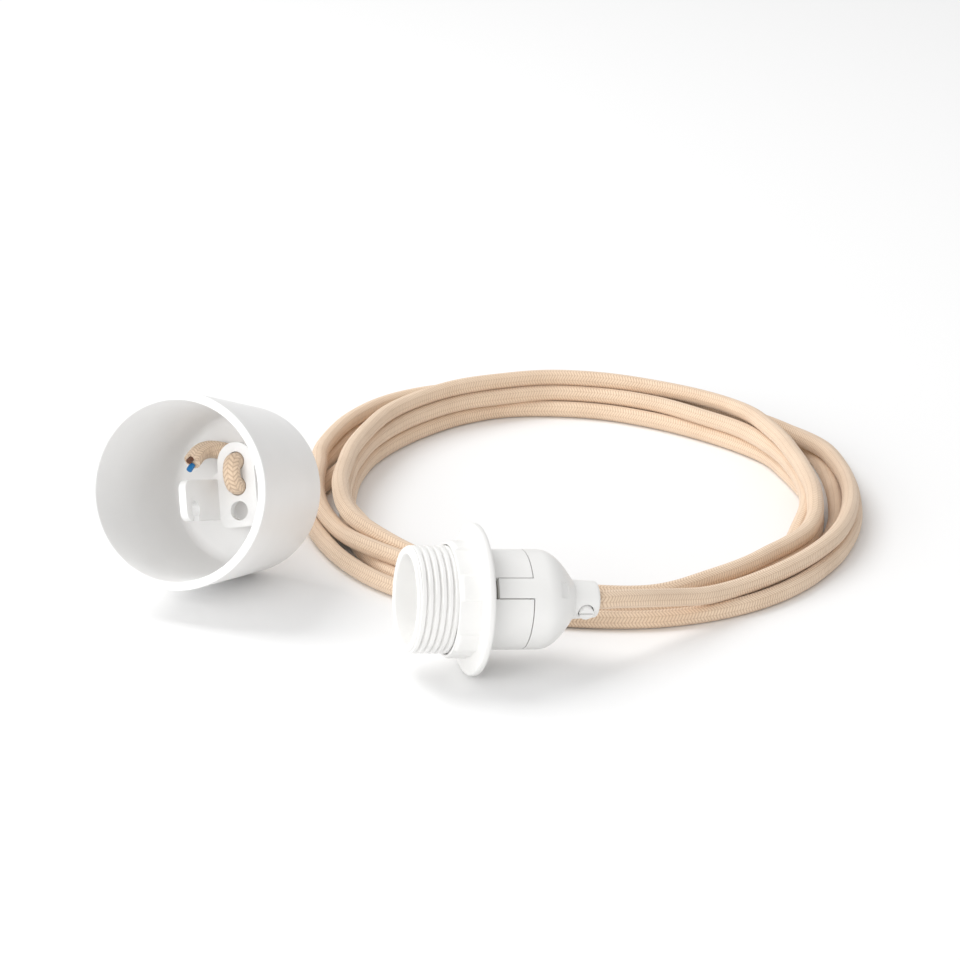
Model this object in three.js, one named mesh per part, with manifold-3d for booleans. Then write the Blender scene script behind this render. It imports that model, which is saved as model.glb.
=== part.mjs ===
// Pendant cord set: a ceiling cup with its suspension hook, a coiled textile cord and an E27 lamp holder.
// Millimetres, +Z up. The set lies on a surface at z = 0, and the origin is under the middle of cup and holder.
import * as THREE from 'three';
import Module from 'manifold-3d';
import { mergeVertices } from 'three/addons/utils/BufferGeometryUtils.js';

const wasm = await Module();
wasm.setup();

// Clearances
const SEAT_GAP = 0.3;
const SLIDE_GAP = 0.35;

// Where the holder lies: the middle of its flange's front face, and the way its mouth points
const HOLDER_X = 48.84;
const HOLDER_Y = -50.44;
const HOLDER_TURN = 14.64;
const HOLDER_LIFT = 5.7;

// Threaded skirt, along z from the flange's front face, mouth upwards
const SKIRT_REACH = 24;
const THREAD_R = 20;
const THREAD_PITCH = 2.5;
const THREAD_DEPTH = 0.9;
const LIP_LENGTH = 1.6;
const LIP_R = 19.4;
const LIP_ROUND = 0.6;
const MOUTH_R = 16.7;
const MOUTH_TAPER = 0.8;
const MOUTH_DEPTH = 11;
const LAMP_ROOT_R = 13.4;
const LAMP_CREST_R = 12.4;
const LAMP_PITCH = 3.6;
const LAMP_TURNS = 5;
const BODY_R = 18.65;
const BODY_WALL = 1.8;
const TONGUE_REACH = 20.2;
const TONGUE_FROM = 21;
const TONGUE_WIDTH = 25.5;

// Shade ring
const FLANGE_R = 28.35;
const FLANGE_THICKNESS = 3.2;
const FLANGE_ROUND = 0.8;
const HUB_LENGTH = 8.8;
const HUB_WALL = 0.95;
const PAD_HEIGHT = 0.75;
const PAD_WIDTH = 26.6;
const PAD_FROM = 19;
const PAD_COUNT = 6;

// Cap with its neck
const CAP_STRAIGHT = 5.5;
const CAP_DOME = 13.8;
const CAP_TONGUE_TIP = 7.1;
const NECK_R = 7.4;
const NECK_LENGTH = 9.8;
const NECK_TAPER = 0.6;
const NECK_ROUND = 0.9;
const WINDOW_WIDTH = 6.2;
const WINDOW_LENGTH = 4.8;
const WINDOW_FRONT = 30.8;
const WINDOW_FLOOR_R = 15.9;
const WINDOW_SLOPE = 31.5;

// Cord-grip screw in the neck
const GRIP_R = 2.7;
const GRIP_ANGLE = -21;
const GRIP_BACK = 44.1;
const GRIP_PROUD = 0.9;
const SLOT_WIDTH = 0.8;
const SLOT_DEPTH = 1;

// Contact carrier, contacts and terminals
const CARRIER_LENGTH = 11.7;
const CARRIER_POCKET = 6;
const CARRIER_POCKET_R = 11.9;
const STRIP_THICKNESS = 0.8;
const STRIP_WIDTH = 5.5;
const CENTRE_RISE = 6.2;
const SIDE_RISE = 12.5;
const TERMINAL_X = 6.2;
const TERMINAL_WIDTH = 5.6;
const TERMINAL_DEPTH = 6.5;
const TERMINAL_LENGTH = 7.5;
const STUD_R = 1.5;
const WIRE_HOLE_R = 1.6;
const CLAMP_SCREW_R = 1.3;
const CLAMP_HEAD_R = 2.2;
const CLAMP_HEAD = 1.4;

// Cord
const CORD_R = 3.5;
const CORE_R = 1.2;
const CORD_SIDES = 10;
const CORE_SIDES = 8;
const CORD_START = 37.8;

// Where the ceiling cup lies: the middle of its closed end, and the way its mouth points
const CUP_X = -38.31;
const CUP_Y = 63.01;
const CUP_TURN = 65.75;
const CUP_LIFT = 17.85;

// Ceiling cup, along z from its closed end
const CUP_DEPTH = 63.5;
const CUP_RIM_R = 38.3;
const CUP_END_R = 32.7;
const CUP_END_ROUND = 4.7;
const CUP_RIM_WALL = 3.4;
const CUP_WALL = 2.6;
const CUP_FLOOR = 2.6;
const CUP_RIM_ROUND = 0.5;
const CUP_HOLE_R = 4.6;

// Suspension hook: a plate with three cord holes and a hooked arm
const HOOK_BACK = 13.2;
const PLATE_X = 2.4;
const PLATE_Y = 1.6;
const PLATE_TILT = 13;
const PLATE_THICKNESS = 3;
const PLATE_R = 8;
const PLATE_TOP = 17.5;
const PLATE_BOTTOM = 16;
const HOLE_STEP = 9.8;
const HOLE_TOP = 10;
const ARM_THICKNESS = 3;
const ARM_REACH = 31;
const ARM_SIDE = 11.5;
const ARM_TOP = 3.5;
const ARM_BOTTOM = 12.5;
const ARM_ROUND = 4;
const EYE_R = 3.4;
const EYE_Y = -8;
const EYE_FROM_END = 7.5;
const EYE_MOUTH = 4.2;

// Cord end tied through the hook, with its stripped cores
const PLATE_BEND = 2.6;
const STITCH_RISE = 3.6;
const END_CORE_LENGTH = 2;
const END_CORE_SPREAD = 1.5;

// Coil: an oval, described by its innermost turn on the surface and how far the bundle reaches from it
const COIL_X = 92.54;
const COIL_Y = 125.11;
const COIL_HALF_WIDTH = 95;
const COIL_HALF_DEPTH = 114.5;
const COIL_OUT_RIGHT = 22.7;
const COIL_OUT_BACK = 18;
const COIL_OUT_LEFT = 16;
const COIL_OUT_FRONT = 26;
const COIL_IN = 5;
const COIL_HEIGHT = 20;
const COIL_EDGE = 4;

// Route of the cord from the holder to the coil, and from the coil to the cup
const NECK_ROUTE = [
  [98.5, -37.4, 23.1],
  [104, -33.9, 22],
  [110.5, -29.2, 20.3],
  [117.6, -22.9, 18],
  [124.7, -16.7, 15.7],
  [130.8, -11.5, 13.8],
];
const CUP_ROUTE = [
  [-21.7, 128.4, 14.4],
  [-25.2, 112.6, 17.2],
  [-28.9, 96.6, 20.2],
  [-32.9, 81.1, 24],
];

// The cord's way through the cup's hole, in the cup's own frame
const HOLE_ROUTE = [
  [-2, -1.4, -10],
  [-0.4, -0.3, 0],
  [0.3, 0.2, 2.6],
];

// Smoothness of the faceted surfaces
const TURNED_SIDES = 36;
const SMALL_SIDES = 16;
const COIL_SIDES = 44;

const RADIANS = Math.PI / 180;

const white = new THREE.MeshStandardMaterial({ color: 0xf1f0ee, roughness: 0.42, metalness: 0 });
const softWhite = new THREE.MeshStandardMaterial({ color: 0xf6f5f3, roughness: 0.5, metalness: 0 });
const insulator = new THREE.MeshStandardMaterial({ color: 0xe4e1da, roughness: 0.6, metalness: 0 });
const textile = new THREE.MeshStandardMaterial({ color: 0xcfae8c, roughness: 0.9, metalness: 0 });
const brass = new THREE.MeshStandardMaterial({ color: 0xc9a45a, roughness: 0.35, metalness: 1 });
const steel = new THREE.MeshStandardMaterial({ color: 0xb9bbbe, roughness: 0.35, metalness: 1 });
const brown = new THREE.MeshStandardMaterial({ color: 0x5b3420, roughness: 0.5, metalness: 0 });
const blue = new THREE.MeshStandardMaterial({ color: 0x2d7fc4, roughness: 0.5, metalness: 0 });

/** A geometry with shared vertices and without the flat triangles at a turned shape's poles. */
function closed(geometry) {
  const bare = new THREE.BufferGeometry();
  bare.setAttribute('position', geometry.getAttribute('position').clone());
  if (geometry.index) bare.setIndex(geometry.index.clone());
  const merged = mergeVertices(bare, 1e-4);
  const kept = [];
  const index = merged.index.array;
  for (let i = 0; i < index.length; i += 3) {
    const [a, b, c] = [index[i], index[i + 1], index[i + 2]];
    if (a !== b && b !== c && c !== a) kept.push(a, b, c);
  }
  merged.setIndex(kept);
  return merged;
}

function solidOf(geometry) {
  const shared = closed(geometry);
  return new wasm.Manifold(new wasm.Mesh({
    numProp: 3,
    vertProperties: new Float32Array(shared.getAttribute('position').array),
    triVerts: new Uint32Array(shared.index.array),
  }));
}

function geometryOf(manifold) {
  const mesh = manifold.getMesh();
  const geometry = new THREE.BufferGeometry();
  geometry.setAttribute('position', new THREE.BufferAttribute(new Float32Array(mesh.vertProperties), 3));
  geometry.setIndex(new THREE.BufferAttribute(new Uint32Array(mesh.triVerts), 1));
  return geometry;
}

function cut(body, ...tools) {
  return geometryOf(tools.reduce((rest, tool) => rest.subtract(solidOf(tool)), solidOf(body)));
}

function joined(body, ...others) {
  return geometryOf(others.reduce((sum, other) => sum.add(solidOf(other)), solidOf(body)));
}

/** Turns a profile of [radius, z] points, anticlockwise, round the z axis. */
function turned(profile, sides = TURNED_SIDES) {
  const points = profile.map(([r, z]) => new THREE.Vector2(r, z));
  return new THREE.LatheGeometry(points, sides).rotateX(Math.PI / 2);
}

function ringProfile(profile) {
  return [...profile, profile[0]];
}

function rod(radius, fromZ, toZ, sides = SMALL_SIDES) {
  return turned([[0, fromZ], [radius, fromZ], [radius, toZ], [0, toZ]], sides);
}

/** Part of a ring between two radii and two angles in degrees, from z to z. */
function sector(innerR, outerR, fromAngle, width, fromZ, toZ) {
  const start = fromAngle * RADIANS;
  const end = (fromAngle + width) * RADIANS;
  const shape = new THREE.Shape();
  shape.absarc(0, 0, outerR, start, end, false);
  shape.absarc(0, 0, innerR, end, start, true);
  return new THREE.ExtrudeGeometry(shape, { depth: toZ - fromZ, bevelEnabled: false, curveSegments: 6 })
    .translate(0, 0, fromZ);
}

function block(width, depth, height, x, y, z) {
  return new THREE.BoxGeometry(width, depth, height).translate(x, y, z);
}

/** Round tube along a smooth curve through the points. */
function tube(points, radius, sides, steps) {
  const section = new THREE.Shape();
  const corners = Array.from({ length: sides }, (_, i) => {
    const angle = (i / sides) * 2 * Math.PI;
    return new THREE.Vector2(radius * Math.cos(angle), radius * Math.sin(angle));
  });
  section.setFromPoints(corners);
  const path = new THREE.CatmullRomCurve3(points.map((p) => new THREE.Vector3(...p)), false, 'centripetal');
  return new THREE.ExtrudeGeometry(section, { steps, extrudePath: path, bevelEnabled: false });
}

function piece(name, geometry, material) {
  const mesh = new THREE.Mesh(closed(geometry), material);
  mesh.name = name;
  return mesh;
}

/** A frame whose z axis points out of a mouth that faces left and towards the viewer, lifted from level. */
function mouthFrame(turn, lift) {
  const [t, l] = [turn * RADIANS, lift * RADIANS];
  const z = new THREE.Vector3(-Math.cos(t) * Math.cos(l), -Math.sin(t) * Math.cos(l), Math.sin(l));
  const x = new THREE.Vector3(Math.sin(t), -Math.cos(t), 0);
  const y = new THREE.Vector3().crossVectors(z, x);
  return new THREE.Matrix4().makeBasis(x, y, z);
}

// Lamp holder

/** Outside of a screw thread drawn as rings: narrow grooves between wide crests, from z down to z. */
function threadRings(fromZ, toZ) {
  const points = [];
  for (let groove = fromZ; groove > toZ; groove -= THREAD_PITCH) {
    points.push([THREAD_R, groove + 0.28 * THREAD_PITCH]);
    points.push([THREAD_R - THREAD_DEPTH, groove]);
    points.push([THREAD_R, groove - 0.28 * THREAD_PITCH]);
  }
  return points.reverse();
}

function lampThreadRings(topZ) {
  const points = [];
  for (let turn = 0; turn < LAMP_TURNS; turn += 1) {
    points.push([LAMP_CREST_R, topZ - turn * LAMP_PITCH]);
    points.push([LAMP_ROOT_R, topZ - (turn + 0.5) * LAMP_PITCH]);
  }
  points.push([LAMP_CREST_R, topZ - LAMP_TURNS * LAMP_PITCH]);
  return points;
}

const bodyInside = BODY_R - BODY_WALL;
const mouthFloor = SKIRT_REACH - MOUTH_DEPTH;
const lampThreadTop = mouthFloor - 1;
const skirtStep = lampThreadTop - LAMP_TURNS * LAMP_PITCH - 1;
const capFront = -TONGUE_REACH - SEAT_GAP;

function threadedSkirt() {
  const lipBack = SKIRT_REACH - LIP_LENGTH;
  const shell = turned(ringProfile([
    [bodyInside, -TONGUE_REACH],
    [BODY_R, -TONGUE_REACH],
    [BODY_R, -FLANGE_THICKNESS],
    ...threadRings(lipBack - 0.28 * THREAD_PITCH, -FLANGE_THICKNESS + THREAD_PITCH / 2),
    [LIP_R, lipBack + 0.1],
    [LIP_R, SKIRT_REACH - LIP_ROUND],
    [LIP_R - LIP_ROUND, SKIRT_REACH],
    [MOUTH_R + LIP_ROUND, SKIRT_REACH],
    [MOUTH_R, SKIRT_REACH - LIP_ROUND],
    [MOUTH_R - MOUTH_TAPER, mouthFloor],
    ...lampThreadRings(lampThreadTop),
    [bodyInside, skirtStep],
  ]));
  const slots = [0, 180].map((side) => sector(
    LAMP_ROOT_R + 2, BODY_R + 2, TONGUE_FROM + side, TONGUE_WIDTH,
    -TONGUE_REACH - 1, -FLANGE_THICKNESS - 1,
  ));
  return cut(shell, ...slots);
}

function shadeRing() {
  const bore = THREAD_R + SLIDE_GAP;
  const hubR = bore + HUB_WALL;
  const ring = turned(ringProfile([
    [bore, -FLANGE_THICKNESS],
    [FLANGE_R - FLANGE_ROUND, -FLANGE_THICKNESS],
    [FLANGE_R, -FLANGE_THICKNESS + FLANGE_ROUND],
    [FLANGE_R, -FLANGE_ROUND],
    [FLANGE_R - FLANGE_ROUND, 0],
    [hubR, 0],
    [hubR, HUB_LENGTH - 0.4],
    [hubR - 0.4, HUB_LENGTH],
    [bore, HUB_LENGTH],
  ]), 48);
  const pads = Array.from({ length: PAD_COUNT }, (_, i) => sector(
    bore + 0.4 * HUB_WALL, hubR + PAD_HEIGHT, PAD_FROM + i * 360 / PAD_COUNT, PAD_WIDTH,
    -FLANGE_THICKNESS / 2, HUB_LENGTH - 1,
  ));
  return joined(ring, ...pads);
}

/** Points down the dome from the straight wall to the neck, moved in by the wall's thickness. */
function domeCurve(inset) {
  const start = capFront - CAP_STRAIGHT;
  const end = start - CAP_DOME;
  const curve = new THREE.CubicBezierCurve(
    new THREE.Vector2(BODY_R - inset, start),
    new THREE.Vector2(BODY_R - inset, start - CAP_DOME * 0.38 + inset * 0.6),
    new THREE.Vector2(NECK_R + 6.5 - inset, end + 4.6 + inset * 0.8),
    new THREE.Vector2(NECK_R - inset, end + inset),
  );
  return curve.getPoints(6).map((p) => [p.x, p.y]);
}

const cordBore = CORD_R + SLIDE_GAP;
const neckTop = capFront - CAP_STRAIGHT - CAP_DOME;
const neckEnd = neckTop - NECK_LENGTH;

function cap() {
  const outside = domeCurve(0).reverse();
  const inside = domeCurve(BODY_WALL).filter(([r]) => r > cordBore + 0.3);
  const shell = turned(ringProfile([
    [cordBore, neckEnd],
    [NECK_R - NECK_TAPER - NECK_ROUND, neckEnd],
    [NECK_R - NECK_TAPER, neckEnd + NECK_ROUND],
    ...outside,
    [BODY_R, capFront],
    [bodyInside, capFront],
    ...inside,
    [cordBore, neckTop + BODY_WALL],
  ]));
  const slide = SLIDE_GAP / BODY_R / RADIANS;
  const tongues = [0, 180].map((side) => sector(
    bodyInside, BODY_R, TONGUE_FROM + side + slide, TONGUE_WIDTH - 2 * slide,
    capFront - 1, -CAP_TONGUE_TIP,
  ));
  const body = joined(shell, ...tongues);
  const middle = TONGUE_FROM + TONGUE_WIDTH / 2;
  // Each window is a pocket in the dome whose floor slopes up to the surface
  const windows = [0, 180].map((side) => block(CAP_DOME, WINDOW_WIDTH, WINDOW_LENGTH, CAP_DOME / 2, 0, -WINDOW_LENGTH / 2)
    .rotateY(WINDOW_SLOPE * RADIANS).translate(WINDOW_FLOOR_R, 0, -WINDOW_FRONT)
    .rotateZ((middle + side) * RADIANS));
  const gripHole = rod(GRIP_R + SLIDE_GAP, 0, NECK_R + 4).rotateY(Math.PI / 2)
    .rotateZ(GRIP_ANGLE * RADIANS).translate(0, 0, -GRIP_BACK);
  return cut(body, ...windows, gripHole);
}

/** Screw along z with a slotted end at the top. */
function slottedScrew(radius, fromZ, toZ) {
  const slot = block(4 * radius, SLOT_WIDTH, 2 * SLOT_DEPTH, 0, 0, toZ);
  return cut(rod(radius, fromZ, toZ, 20), slot);
}

function cordGripScrew() {
  return slottedScrew(GRIP_R, CORD_R + SEAT_GAP, NECK_R + GRIP_PROUD)
    .rotateY(Math.PI / 2)
    .rotateZ(GRIP_ANGLE * RADIANS).translate(0, 0, -GRIP_BACK);
}

const carrierFront = skirtStep - SEAT_GAP;
const carrierBack = carrierFront - CARRIER_LENGTH;
const pocketFloor = carrierFront - CARRIER_POCKET;
const stripFloor = pocketFloor + SEAT_GAP;

function contactCarrier() {
  const disc = turned([
    [0, carrierBack],
    [bodyInside - SEAT_GAP, carrierBack],
    [bodyInside - SEAT_GAP, carrierFront],
    [CARRIER_POCKET_R, carrierFront],
    [CARRIER_POCKET_R, pocketFloor],
    [0, pocketFloor],
  ]);
  const holes = [-1, 1].map((side) => rod(STUD_R + SLIDE_GAP, carrierBack - 1, carrierFront)
    .translate(side * TERMINAL_X, 0, 0));
  return cut(disc, ...holes);
}

/** A bent strip: its side outline in x and z, carried across y. */
function strip(outline) {
  const shape = new THREE.Shape(outline.map(([x, z]) => new THREE.Vector2(x, z)));
  return new THREE.ExtrudeGeometry(shape, { depth: STRIP_WIDTH, bevelEnabled: false })
    .rotateX(Math.PI / 2).translate(0, STRIP_WIDTH / 2, 0);
}

function centreContact() {
  const t = STRIP_THICKNESS;
  const [low, high] = [stripFloor, stripFloor + CENTRE_RISE];
  return strip([
    [-TERMINAL_X - 2.4, low], [-TERMINAL_X + 2, low], [1, high - t], [2.6, high - t],
    [2.6, high], [0.6, high], [-TERMINAL_X + 1.6, low + t], [-TERMINAL_X - 2.4, low + t],
  ]);
}

function sideContact() {
  const t = STRIP_THICKNESS;
  const [low, high] = [stripFloor, stripFloor + SIDE_RISE];
  const reach = LAMP_CREST_R - SEAT_GAP;
  return strip([
    [TERMINAL_X - 2, low], [reach - 0.6, low], [reach - 0.6, high - 3], [reach, high - 1.5],
    [reach - 0.6, high], [reach - t - 0.6, high], [reach - t, high - 1.5], [reach - t - 0.6, high - 3],
    [reach - t - 0.6, low + t], [TERMINAL_X - 2, low + t],
  ]);
}

const terminalFront = carrierBack - SEAT_GAP;
const terminalBack = terminalFront - TERMINAL_LENGTH;
const clampZ = terminalBack + 2.6;

function terminal(side) {
  const x = side * TERMINAL_X;
  const body = block(
    TERMINAL_WIDTH, TERMINAL_DEPTH, TERMINAL_LENGTH, x, 0, (terminalFront + terminalBack) / 2,
  );
  const stud = rod(STUD_R, terminalFront - 1, stripFloor - SEAT_GAP).translate(x, 0, 0);
  const wireHole = rod(WIRE_HOLE_R, terminalBack - 1, terminalBack + 5).translate(x, 0, 0);
  const screwHole = rod(CLAMP_SCREW_R + SLIDE_GAP, 0, TERMINAL_DEPTH).rotateX(-Math.PI / 2)
    .translate(x, 0, clampZ);
  return cut(joined(body, stud), wireHole, screwHole);
}

function terminalScrew(side) {
  const headFrom = TERMINAL_DEPTH / 2 + SEAT_GAP;
  const shank = rod(CLAMP_SCREW_R, CORE_R + SEAT_GAP, headFrom + 0.2);
  const head = slottedScrew(CLAMP_HEAD_R, headFrom, headFrom + CLAMP_HEAD);
  return joined(shank, head).rotateX(-Math.PI / 2).translate(side * TERMINAL_X, 0, clampZ);
}

function holderCore(side) {
  return tube([
    [side * 1.6, 0, -CORD_START + SEAT_GAP],
    [side * 2.2, 0, -CORD_START + 3],
    [side * 5, 0, terminalBack - 3.4],
    [side * TERMINAL_X, 0, terminalBack - 0.6],
    [side * TERMINAL_X, 0, terminalBack + 4],
  ], CORE_R, CORE_SIDES, 12);
}

/** The holder lies on the back edge of its flange. */
function holderFrame() {
  const lift = HOLDER_LIFT * RADIANS;
  const height = FLANGE_R * Math.cos(lift) + (FLANGE_THICKNESS - FLANGE_ROUND) * Math.sin(lift);
  return mouthFrame(HOLDER_TURN, HOLDER_LIFT).setPosition(HOLDER_X, HOLDER_Y, height);
}

function lampHolder() {
  const group = new THREE.Group();
  group.add(
    piece('threaded_skirt', threadedSkirt(), white),
    piece('shade_ring', shadeRing(), white),
    piece('cap', cap(), white),
    piece('cord_grip_screw', cordGripScrew(), white),
    piece('contact_carrier', contactCarrier(), insulator),
    piece('centre_contact', centreContact(), brass),
    piece('side_contact', sideContact(), brass),
    piece('terminal_line', terminal(-1), brass),
    piece('terminal_neutral', terminal(1), brass),
    piece('terminal_screw_line', terminalScrew(-1), steel),
    piece('terminal_screw_neutral', terminalScrew(1), steel),
    piece('holder_core_brown', holderCore(-1), brown),
    piece('holder_core_blue', holderCore(1), blue),
  );
  group.applyMatrix4(holderFrame());
  return group;
}

// Ceiling cup

function cupOutsideR(z) {
  return CUP_END_R + (CUP_RIM_R - CUP_END_R) * (z / CUP_DEPTH);
}

function roundCorner(centreR, centreZ, radius, fromAngle, toAngle, steps = 4) {
  return Array.from({ length: steps + 1 }, (_, i) => {
    const angle = (fromAngle + (toAngle - fromAngle) * (i / steps)) * RADIANS;
    return [centreR + radius * Math.cos(angle), centreZ + radius * Math.sin(angle)];
  });
}

const cupInsideEndR = cupOutsideR(CUP_FLOOR + 2) - CUP_WALL;

function ceilingCup() {
  const outerCorner = roundCorner(
    cupOutsideR(CUP_END_ROUND) - CUP_END_ROUND, CUP_END_ROUND, CUP_END_ROUND, -90, -5,
  );
  const innerRound = CUP_END_ROUND - 1.5;
  const innerCorner = roundCorner(
    cupInsideEndR - innerRound, CUP_FLOOR + innerRound, innerRound, -5, -90,
  );
  const inside = CUP_RIM_R - CUP_RIM_WALL;
  return turned(ringProfile([
    [CUP_HOLE_R, 0],
    ...outerCorner,
    [CUP_RIM_R, CUP_DEPTH - CUP_RIM_ROUND],
    [CUP_RIM_R - CUP_RIM_ROUND, CUP_DEPTH],
    [inside + CUP_RIM_ROUND, CUP_DEPTH],
    [inside, CUP_DEPTH - CUP_RIM_ROUND],
    ...innerCorner,
    [CUP_HOLE_R, CUP_FLOOR],
  ]), 48);
}

const holeR = CORD_R + SLIDE_GAP;
const plateFront = HOOK_BACK + PLATE_THICKNESS;

/** Plate with a round top and three cord holes, wider at its foot, where a flat arm with an eye stands on its side. */
function suspensionHook() {
  const corner = ARM_THICKNESS;
  const plate = new THREE.Shape();
  plate.absarc(0, PLATE_TOP - PLATE_R, PLATE_R, 0, Math.PI, false);
  plate.lineTo(-PLATE_R, ARM_TOP + corner);
  plate.lineTo(-ARM_SIDE, ARM_TOP);
  plate.lineTo(-ARM_SIDE, -ARM_BOTTOM);
  plate.absarc(-PLATE_R + corner, -PLATE_BOTTOM + corner, corner, Math.PI, 1.5 * Math.PI, false);
  plate.absarc(PLATE_R - corner, -PLATE_BOTTOM + corner, corner, 1.5 * Math.PI, 2 * Math.PI, false);
  for (let i = 0; i < 3; i += 1) {
    const hole = new THREE.Path();
    hole.absarc(0, HOLE_TOP - i * HOLE_STEP, holeR, 0, 2 * Math.PI, true);
    plate.holes.push(hole);
  }
  const flat = new THREE.ExtrudeGeometry(plate, { depth: PLATE_THICKNESS, bevelEnabled: false, curveSegments: 10 })
    .translate(0, 0, HOOK_BACK);
  // The arm's outline lies in y and z: a bar that stands on the plate, with a round eye open at its lower side
  const arm = new THREE.Shape();
  arm.moveTo(ARM_TOP, 0);
  arm.lineTo(ARM_TOP, ARM_REACH - ARM_ROUND);
  arm.absarc(ARM_TOP - ARM_ROUND, ARM_REACH - ARM_ROUND, ARM_ROUND, 0, Math.PI / 2, false);
  arm.lineTo(-ARM_BOTTOM + ARM_ROUND, ARM_REACH);
  arm.absarc(-ARM_BOTTOM + ARM_ROUND, ARM_REACH - ARM_ROUND, ARM_ROUND, Math.PI / 2, Math.PI, false);
  arm.lineTo(-ARM_BOTTOM, 0);
  const bar = new THREE.ExtrudeGeometry(arm, { depth: ARM_THICKNESS, bevelEnabled: false, curveSegments: 6 });
  // Turns the outline's x to y and its y to z, so that the bar's thickness runs along x
  bar.applyMatrix4(new THREE.Matrix4().makeBasis(
    new THREE.Vector3(0, 1, 0), new THREE.Vector3(0, 0, 1), new THREE.Vector3(1, 0, 0),
  )).translate(-ARM_SIDE, 0, HOOK_BACK);
  const eyeZ = HOOK_BACK + ARM_REACH - EYE_FROM_END;
  const eye = rod(EYE_R, -ARM_THICKNESS, ARM_THICKNESS, 24).rotateY(Math.PI / 2)
    .translate(-ARM_SIDE + ARM_THICKNESS / 2, EYE_Y, eyeZ);
  const mouthWay = block(
    2 * ARM_THICKNESS, ARM_BOTTOM, EYE_MOUTH, -ARM_SIDE + ARM_THICKNESS / 2, EYE_Y - ARM_BOTTOM / 2, eyeZ,
  );
  return cut(joined(flat, bar), eye, mouthWay);
}

/** The cord's last stretch: up through the middle hole, over, down the top hole and out beside the plate. */
function cordEndRoute() {
  const low = HOLE_TOP - HOLE_STEP;
  const middle = (low + HOLE_TOP) / 2;
  const high = plateFront + STITCH_RISE;
  return [
    [0, low, HOOK_BACK - PLATE_BEND],
    [0, low, plateFront - 1],
    [0, low + 0.6, plateFront + 0.6 * STITCH_RISE],
    [0, middle, high + 0.6],
    [0, HOLE_TOP - 0.6, plateFront + 0.6 * STITCH_RISE],
    [0, HOLE_TOP, plateFront - 1],
    [-0.4, HOLE_TOP + 0.2, HOOK_BACK - 2],
    [-3.6, HOLE_TOP + 2.4, HOOK_BACK - 5],
    [-8.8, HOLE_TOP + 4.8, HOOK_BACK - 4.6],
    [-13, HOLE_TOP + 5.8, HOOK_BACK - 1],
    [-14.8, HOLE_TOP + 4.7, HOOK_BACK + 4],
    [-15.2, HOLE_TOP + 2.7, HOOK_BACK + 7.8],
    [-15.6, HOLE_TOP + 1.3, HOOK_BACK + 9.6],
  ];
}

function endCore(side, length) {
  const route = cordEndRoute();
  const tip = new THREE.Vector3(...route[route.length - 1]);
  const before = new THREE.Vector3(...route[route.length - 2]);
  const along = tip.clone().sub(before).normalize();
  const across = new THREE.Vector3(0, 0, 1).cross(along).cross(along).normalize();
  const from = tip.clone().addScaledVector(along, SEAT_GAP).addScaledVector(across, side * END_CORE_SPREAD);
  const to = from.clone().addScaledVector(along, length).addScaledVector(across, side * 0.4);
  return tube([from.toArray(), from.clone().lerp(to, 0.5).toArray(), to.toArray()], CORE_R, CORE_SIDES, 3);
}

/** Where the hook sits in the cup: moved off the cup's axis and turned about it. */
function hookPlace() {
  return new THREE.Matrix4().makeRotationZ(PLATE_TILT * RADIANS).setPosition(PLATE_X, PLATE_Y, 0);
}

function hookGroup() {
  const group = new THREE.Group();
  group.add(
    piece('suspension_hook', suspensionHook(), softWhite),
    piece('cord_end', tube(cordEndRoute(), CORD_R, CORD_SIDES, 30), textile),
    piece('end_core_brown', endCore(-1, END_CORE_LENGTH), brown),
    piece('end_core_blue', endCore(1, END_CORE_LENGTH + 1), blue),
  );
  group.applyMatrix4(hookPlace());
  return group;
}

function cupFrame() {
  const frame = mouthFrame(CUP_TURN, CUP_LIFT);
  const lift = CUP_LIFT * RADIANS;
  // The lowest point is on the round edge of the closed end
  const edgeR = cupOutsideR(CUP_END_ROUND) - CUP_END_ROUND;
  const height = edgeR * Math.cos(lift) - CUP_END_ROUND * Math.sin(lift) + CUP_END_ROUND;
  return frame.setPosition(CUP_X, CUP_Y, height);
}

function ceilingEnd() {
  const group = new THREE.Group();
  group.add(piece('ceiling_cup', ceilingCup(), softWhite), hookGroup());
  group.applyMatrix4(cupFrame());
  return group;
}

// Cord

function coilOutline(outRight, outBack, outLeft, outFront) {
  return Array.from({ length: COIL_SIDES }, (_, i) => {
    const angle = (i / COIL_SIDES) * 2 * Math.PI;
    const [c, s] = [Math.cos(angle), Math.sin(angle)];
    const across = COIL_HALF_WIDTH + (c > 0 ? outRight : outLeft);
    const deep = COIL_HALF_DEPTH + (s > 0 ? outBack : outFront);
    return new THREE.Vector2(COIL_X + c * across, COIL_Y + s * deep);
  });
}

/** The outer shape of the coiled turns: an oval ring with round edges. */
function cordCoil() {
  const out = [COIL_OUT_RIGHT, COIL_OUT_BACK, COIL_OUT_LEFT, COIL_OUT_FRONT].map((reach) => reach - COIL_EDGE);
  const inset = COIL_EDGE - COIL_IN;
  const shape = new THREE.Shape(coilOutline(...out));
  shape.holes.push(new THREE.Path(coilOutline(inset, inset, inset, inset)));
  return new THREE.ExtrudeGeometry(shape, {
    depth: COIL_HEIGHT - 2 * COIL_EDGE,
    bevelEnabled: true,
    bevelThickness: COIL_EDGE,
    bevelSize: COIL_EDGE,
    bevelSegments: 3,
  }).translate(0, 0, COIL_EDGE);
}

function pointsIn(frame, points) {
  return points.map((p) => new THREE.Vector3(...p).applyMatrix4(frame).toArray());
}

function neckCord() {
  const inside = pointsIn(holderFrame(), [
    [0, 0, -CORD_START],
    [0, 0, (neckTop + neckEnd) / 2],
    [0, 0, neckEnd],
  ]);
  return tube([...inside, ...NECK_ROUTE], CORD_R, CORD_SIDES, 13);
}

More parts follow.
